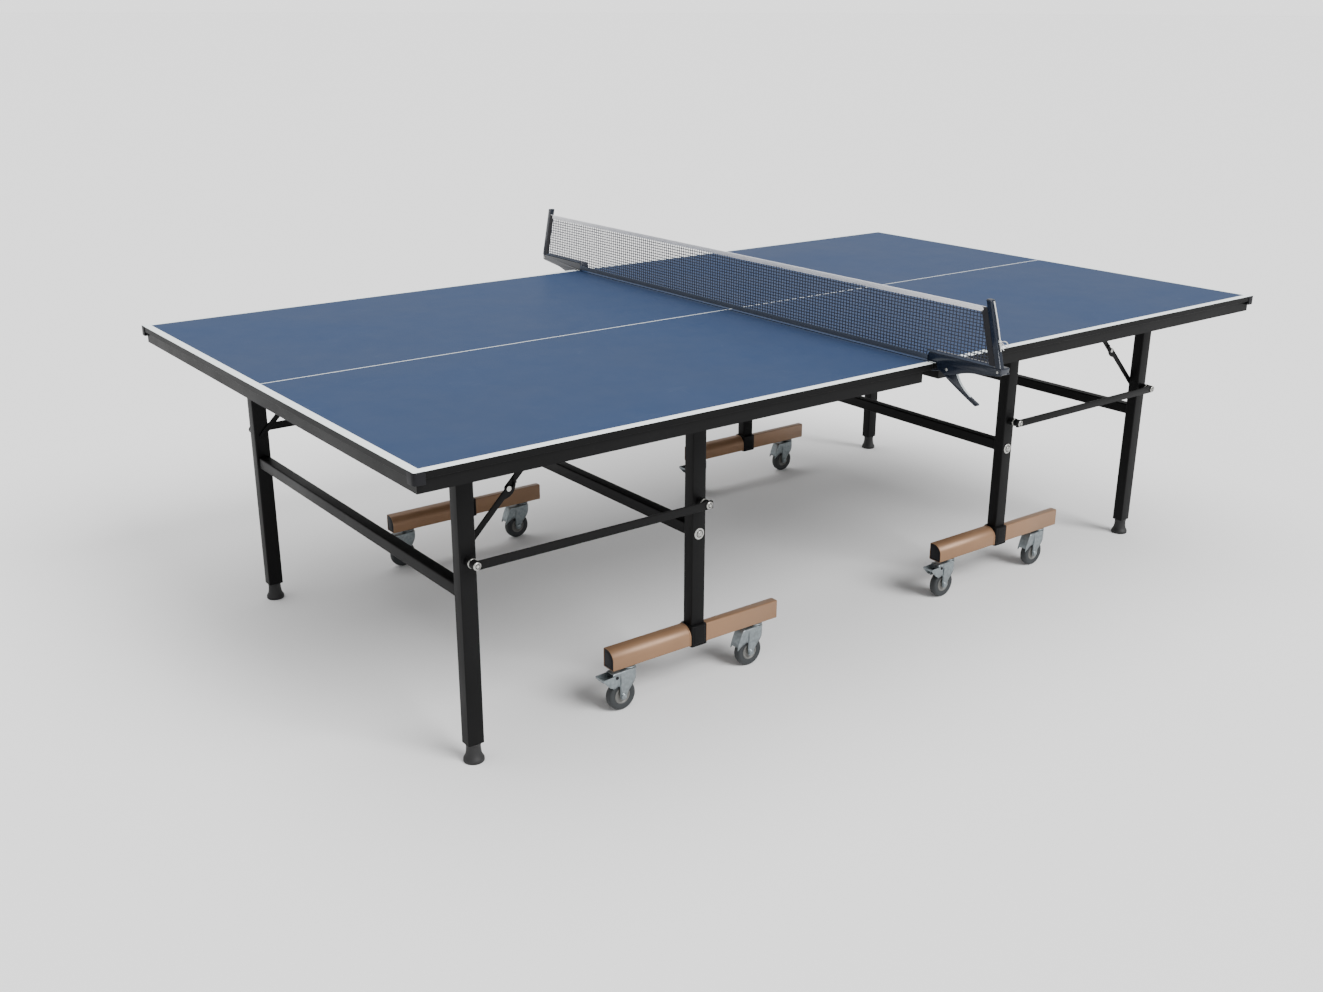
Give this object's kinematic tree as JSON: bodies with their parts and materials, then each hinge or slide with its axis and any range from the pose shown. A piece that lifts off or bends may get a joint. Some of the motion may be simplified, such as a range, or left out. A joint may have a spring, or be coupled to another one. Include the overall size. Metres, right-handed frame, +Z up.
{
  "type": "ping pong table",
  "caption": "Roll-away table tennis table in folding halves with steel aprons, linked folding legs, braked casters on tee bars, and a clamped net set.",
  "frame": {"origin": "on the floor under the middle of the net", "axes": "+X along the table towards the right half's end, +Z up, near long side facing -Y"},
  "size_m": [2.74, 1.916, 0.935],
  "materials": {
    "blue_board": "satin painted board, blue with white lines",
    "black_steel": "satin black powder coat",
    "tan_steel": "satin copper tan powder coat",
    "zinc": "bright zinc plate",
    "grey_rubber": "grey moulded tread and hub",
    "black_rubber": "matte black rubber",
    "navy_paint": "satin dark navy paint",
    "net_cloth": "dark navy knotted mesh with white top tape",
    "white_cord": "white braided cord"
  },
  "bodies": {
    "left_base": {"left_near_wheel_leg": "black_steel", "left_far_wheel_leg": "black_steel", "left_wheel_leg_crossbar": "black_steel", "left_near_caster_bar": "tan_steel", "left_far_caster_bar": "tan_steel"},
    "left_top": {"left_board": "blue_board", "left_apron_frame": "black_steel"},
    "left_end_frame": {"left_end_leg_frame": "black_steel", "left_near_foot": "black_rubber", "left_far_foot": "black_rubber"},
    "left_links": {"left_near_link_bar": "black_steel", "left_far_link_bar": "black_steel"},
    "left_lower_braces": {"left_near_lower_brace": "black_steel", "left_far_lower_brace": "black_steel"},
    "left_upper_braces": {"left_near_upper_brace": "black_steel", "left_far_upper_brace": "black_steel"},
    "right_base": {"right_near_wheel_leg": "black_steel", "right_far_wheel_leg": "black_steel", "right_wheel_leg_crossbar": "black_steel", "right_near_caster_bar": "tan_steel", "right_far_caster_bar": "tan_steel"},
    "right_top": {"right_board": "blue_board", "right_apron_frame": "black_steel", "near_net_clamp": "navy_paint", "far_net_clamp": "navy_paint", "near_net_post": "navy_paint", "far_net_post": "navy_paint", "net": "net_cloth", "net_cord": "white_cord"},
    "right_end_frame": {"right_end_leg_frame": "black_steel", "right_near_foot": "black_rubber", "right_far_foot": "black_rubber"},
    "right_links": {"right_near_link_bar": "black_steel", "right_far_link_bar": "black_steel"},
    "right_lower_braces": {"right_near_lower_brace": "black_steel", "right_far_lower_brace": "black_steel"},
    "right_upper_braces": {"right_near_upper_brace": "black_steel", "right_far_upper_brace": "black_steel"},
    "left_near_braked_swivel": {"left_near_braked_fork": "zinc"},
    "left_near_braked_roller": {"left_near_braked_wheel": "grey_rubber"},
    "left_near_pedal": {"left_near_brake_pedal": "zinc"},
    "left_near_plain_swivel": {"left_near_plain_fork": "zinc"},
    "left_near_plain_roller": {"left_near_plain_wheel": "grey_rubber"},
    "left_far_braked_swivel": {"left_far_braked_fork": "zinc"},
    "left_far_braked_roller": {"left_far_braked_wheel": "grey_rubber"},
    "left_far_pedal": {"left_far_brake_pedal": "zinc"},
    "left_far_plain_swivel": {"left_far_plain_fork": "zinc"},
    "left_far_plain_roller": {"left_far_plain_wheel": "grey_rubber"},
    "right_near_braked_swivel": {"right_near_braked_fork": "zinc"},
    "right_near_braked_roller": {"right_near_braked_wheel": "grey_rubber"},
    "right_near_pedal": {"right_near_brake_pedal": "zinc"},
    "right_near_plain_swivel": {"right_near_plain_fork": "zinc"},
    "right_near_plain_roller": {"right_near_plain_wheel": "grey_rubber"},
    "right_far_braked_swivel": {"right_far_braked_fork": "zinc"},
    "right_far_braked_roller": {"right_far_braked_wheel": "grey_rubber"},
    "right_far_pedal": {"right_far_brake_pedal": "zinc"},
    "right_far_plain_swivel": {"right_far_plain_fork": "zinc"},
    "right_far_plain_roller": {"right_far_plain_wheel": "grey_rubber"},
    "near_lever": {"near_clamp_lever": "navy_paint"},
    "far_lever": {"far_clamp_lever": "navy_paint"}
  },
  "joints": [
    {"name": "halves_part", "type": "slide", "parent": "left_base", "child": "right_base", "axis": [1, 0, 0], "range_m": [0, 0.5]},
    {"name": "left_fold", "type": "hinge", "parent": "left_base", "child": "left_top", "pos_m": [-0.55, 0, 0.72], "axis": [0, 1, 0], "range_deg": [0, 85]},
    {"name": "left_end_frame_hinge", "type": "hinge", "parent": "left_top", "child": "left_end_frame", "pos_m": [-1.16, 0, 0.72], "axis": [0, 1, 0], "range_deg": [-85, 0]},
    {"name": "left_link_hinge", "type": "hinge", "parent": "left_base", "child": "left_links", "pos_m": [-0.55, 0, 0.475], "axis": [0, 1, 0], "range_deg": [0, 85]},
    {"name": "left_lower_brace_hinge", "type": "hinge", "parent": "left_end_frame", "child": "left_lower_braces", "pos_m": [-1.16, 0, 0.475], "axis": [0, 1, 0], "range_deg": [-44, 0]},
    {"name": "left_upper_brace_hinge", "type": "hinge", "parent": "left_top", "child": "left_upper_braces", "pos_m": [-0.915, 0, 0.72], "axis": [0, 1, 0], "range_deg": [0, 44]},
    {"name": "right_fold", "type": "hinge", "parent": "right_base", "child": "right_top", "pos_m": [0.55, 0, 0.72], "axis": [0, -1, 0], "range_deg": [0, 85], "deforming": ["net"]},
    {"name": "right_end_frame_hinge", "type": "hinge", "parent": "right_top", "child": "right_end_frame", "pos_m": [1.16, 0, 0.72], "axis": [0, -1, 0], "range_deg": [-85, 0]},
    {"name": "right_link_hinge", "type": "hinge", "parent": "right_base", "child": "right_links", "pos_m": [0.55, 0, 0.475], "axis": [0, -1, 0], "range_deg": [0, 85]},
    {"name": "right_lower_brace_hinge", "type": "hinge", "parent": "right_end_frame", "child": "right_lower_braces", "pos_m": [1.16, 0, 0.475], "axis": [0, -1, 0], "range_deg": [-44, 0]},
    {"name": "right_upper_brace_hinge", "type": "hinge", "parent": "right_top", "child": "right_upper_braces", "pos_m": [0.915, 0, 0.72], "axis": [0, -1, 0], "range_deg": [0, 44]},
    {"name": "left_near_braked_swivel_turn", "type": "hinge", "parent": "left_base", "child": "left_near_braked_swivel", "pos_m": [-0.745, -0.55, 0.1], "axis": [0, 0, 1], "continuous": true},
    {"name": "left_near_braked_wheel_turn", "type": "hinge", "parent": "left_near_braked_swivel", "child": "left_near_braked_roller", "pos_m": [-0.767, -0.55, 0.0375], "axis": [0, 1, 0], "continuous": true},
    {"name": "left_near_pedal_press", "type": "hinge", "parent": "left_near_braked_swivel", "child": "left_near_pedal", "pos_m": [-0.787, -0.55, 0.0915], "axis": [0, -1, 0], "range_deg": [0, 8]},
    {"name": "left_near_plain_swivel_turn", "type": "hinge", "parent": "left_base", "child": "left_near_plain_swivel", "pos_m": [-0.355, -0.55, 0.1], "axis": [0, 0, 1], "continuous": true},
    {"name": "left_near_plain_wheel_turn", "type": "hinge", "parent": "left_near_plain_swivel", "child": "left_near_plain_roller", "pos_m": [-0.377, -0.55, 0.0375], "axis": [0, 1, 0], "continuous": true},
    {"name": "left_far_braked_swivel_turn", "type": "hinge", "parent": "left_base", "child": "left_far_braked_swivel", "pos_m": [-0.745, 0.55, 0.1], "axis": [0, 0, 1], "continuous": true},
    {"name": "left_far_braked_wheel_turn", "type": "hinge", "parent": "left_far_braked_swivel", "child": "left_far_braked_roller", "pos_m": [-0.767, 0.55, 0.0375], "axis": [0, 1, 0], "continuous": true},
    {"name": "left_far_pedal_press", "type": "hinge", "parent": "left_far_braked_swivel", "child": "left_far_pedal", "pos_m": [-0.787, 0.55, 0.0915], "axis": [0, -1, 0], "range_deg": [0, 8]},
    {"name": "left_far_plain_swivel_turn", "type": "hinge", "parent": "left_base", "child": "left_far_plain_swivel", "pos_m": [-0.355, 0.55, 0.1], "axis": [0, 0, 1], "continuous": true},
    {"name": "left_far_plain_wheel_turn", "type": "hinge", "parent": "left_far_plain_swivel", "child": "left_far_plain_roller", "pos_m": [-0.377, 0.55, 0.0375], "axis": [0, 1, 0], "continuous": true},
    {"name": "right_near_braked_swivel_turn", "type": "hinge", "parent": "right_base", "child": "right_near_braked_swivel", "pos_m": [0.355, -0.55, 0.1], "axis": [0, 0, 1], "continuous": true},
    {"name": "right_near_braked_wheel_turn", "type": "hinge", "parent": "right_near_braked_swivel", "child": "right_near_braked_roller", "pos_m": [0.333, -0.55, 0.0375], "axis": [0, 1, 0], "continuous": true},
    {"name": "right_near_pedal_press", "type": "hinge", "parent": "right_near_braked_swivel", "child": "right_near_pedal", "pos_m": [0.313, -0.55, 0.0915], "axis": [0, -1, 0], "range_deg": [0, 8]},
    {"name": "right_near_plain_swivel_turn", "type": "hinge", "parent": "right_base", "child": "right_near_plain_swivel", "pos_m": [0.745, -0.55, 0.1], "axis": [0, 0, 1], "continuous": true},
    {"name": "right_near_plain_wheel_turn", "type": "hinge", "parent": "right_near_plain_swivel", "child": "right_near_plain_roller", "pos_m": [0.723, -0.55, 0.0375], "axis": [0, 1, 0], "continuous": true},
    {"name": "right_far_braked_swivel_turn", "type": "hinge", "parent": "right_base", "child": "right_far_braked_swivel", "pos_m": [0.355, 0.55, 0.1], "axis": [0, 0, 1], "continuous": true},
    {"name": "right_far_braked_wheel_turn", "type": "hinge", "parent": "right_far_braked_swivel", "child": "right_far_braked_roller", "pos_m": [0.333, 0.55, 0.0375], "axis": [0, 1, 0], "continuous": true},
    {"name": "right_far_pedal_press", "type": "hinge", "parent": "right_far_braked_swivel", "child": "right_far_pedal", "pos_m": [0.313, 0.55, 0.0915], "axis": [0, -1, 0], "range_deg": [0, 8]},
    {"name": "right_far_plain_swivel_turn", "type": "hinge", "parent": "right_base", "child": "right_far_plain_swivel", "pos_m": [0.745, 0.55, 0.1], "axis": [0, 0, 1], "continuous": true},
    {"name": "right_far_plain_wheel_turn", "type": "hinge", "parent": "right_far_plain_swivel", "child": "right_far_plain_roller", "pos_m": [0.723, 0.55, 0.0375], "axis": [0, 1, 0], "continuous": true},
    {"name": "near_clamp_squeeze", "type": "hinge", "parent": "right_top", "child": "near_lever", "pos_m": [0.018, -0.797, 0.75], "axis": [-1, 0, 0], "range_deg": [0, 15], "stiffness_Nm_per_rad": 2, "springref_deg": -8.59},
    {"name": "far_clamp_squeeze", "type": "hinge", "parent": "right_top", "child": "far_lever", "pos_m": [0.018, 0.797, 0.75], "axis": [1, 0, 0], "range_deg": [0, 15], "stiffness_Nm_per_rad": 2, "springref_deg": -8.59}
  ],
  "couplings": [
    {"joint": "left_end_frame_hinge", "follows": "left_fold", "ratio": -1},
    {"joint": "left_link_hinge", "follows": "left_fold", "ratio": 1},
    {"joint": "left_lower_brace_hinge", "follows": "left_fold", "ratio": -0.51721},
    {"joint": "left_upper_brace_hinge", "follows": "left_fold", "ratio": 0.51721},
    {"joint": "right_end_frame_hinge", "follows": "right_fold", "ratio": -1},
    {"joint": "right_link_hinge", "follows": "right_fold", "ratio": 1},
    {"joint": "right_lower_brace_hinge", "follows": "right_fold", "ratio": -0.51721},
    {"joint": "right_upper_brace_hinge", "follows": "right_fold", "ratio": 0.51721}
  ]
}
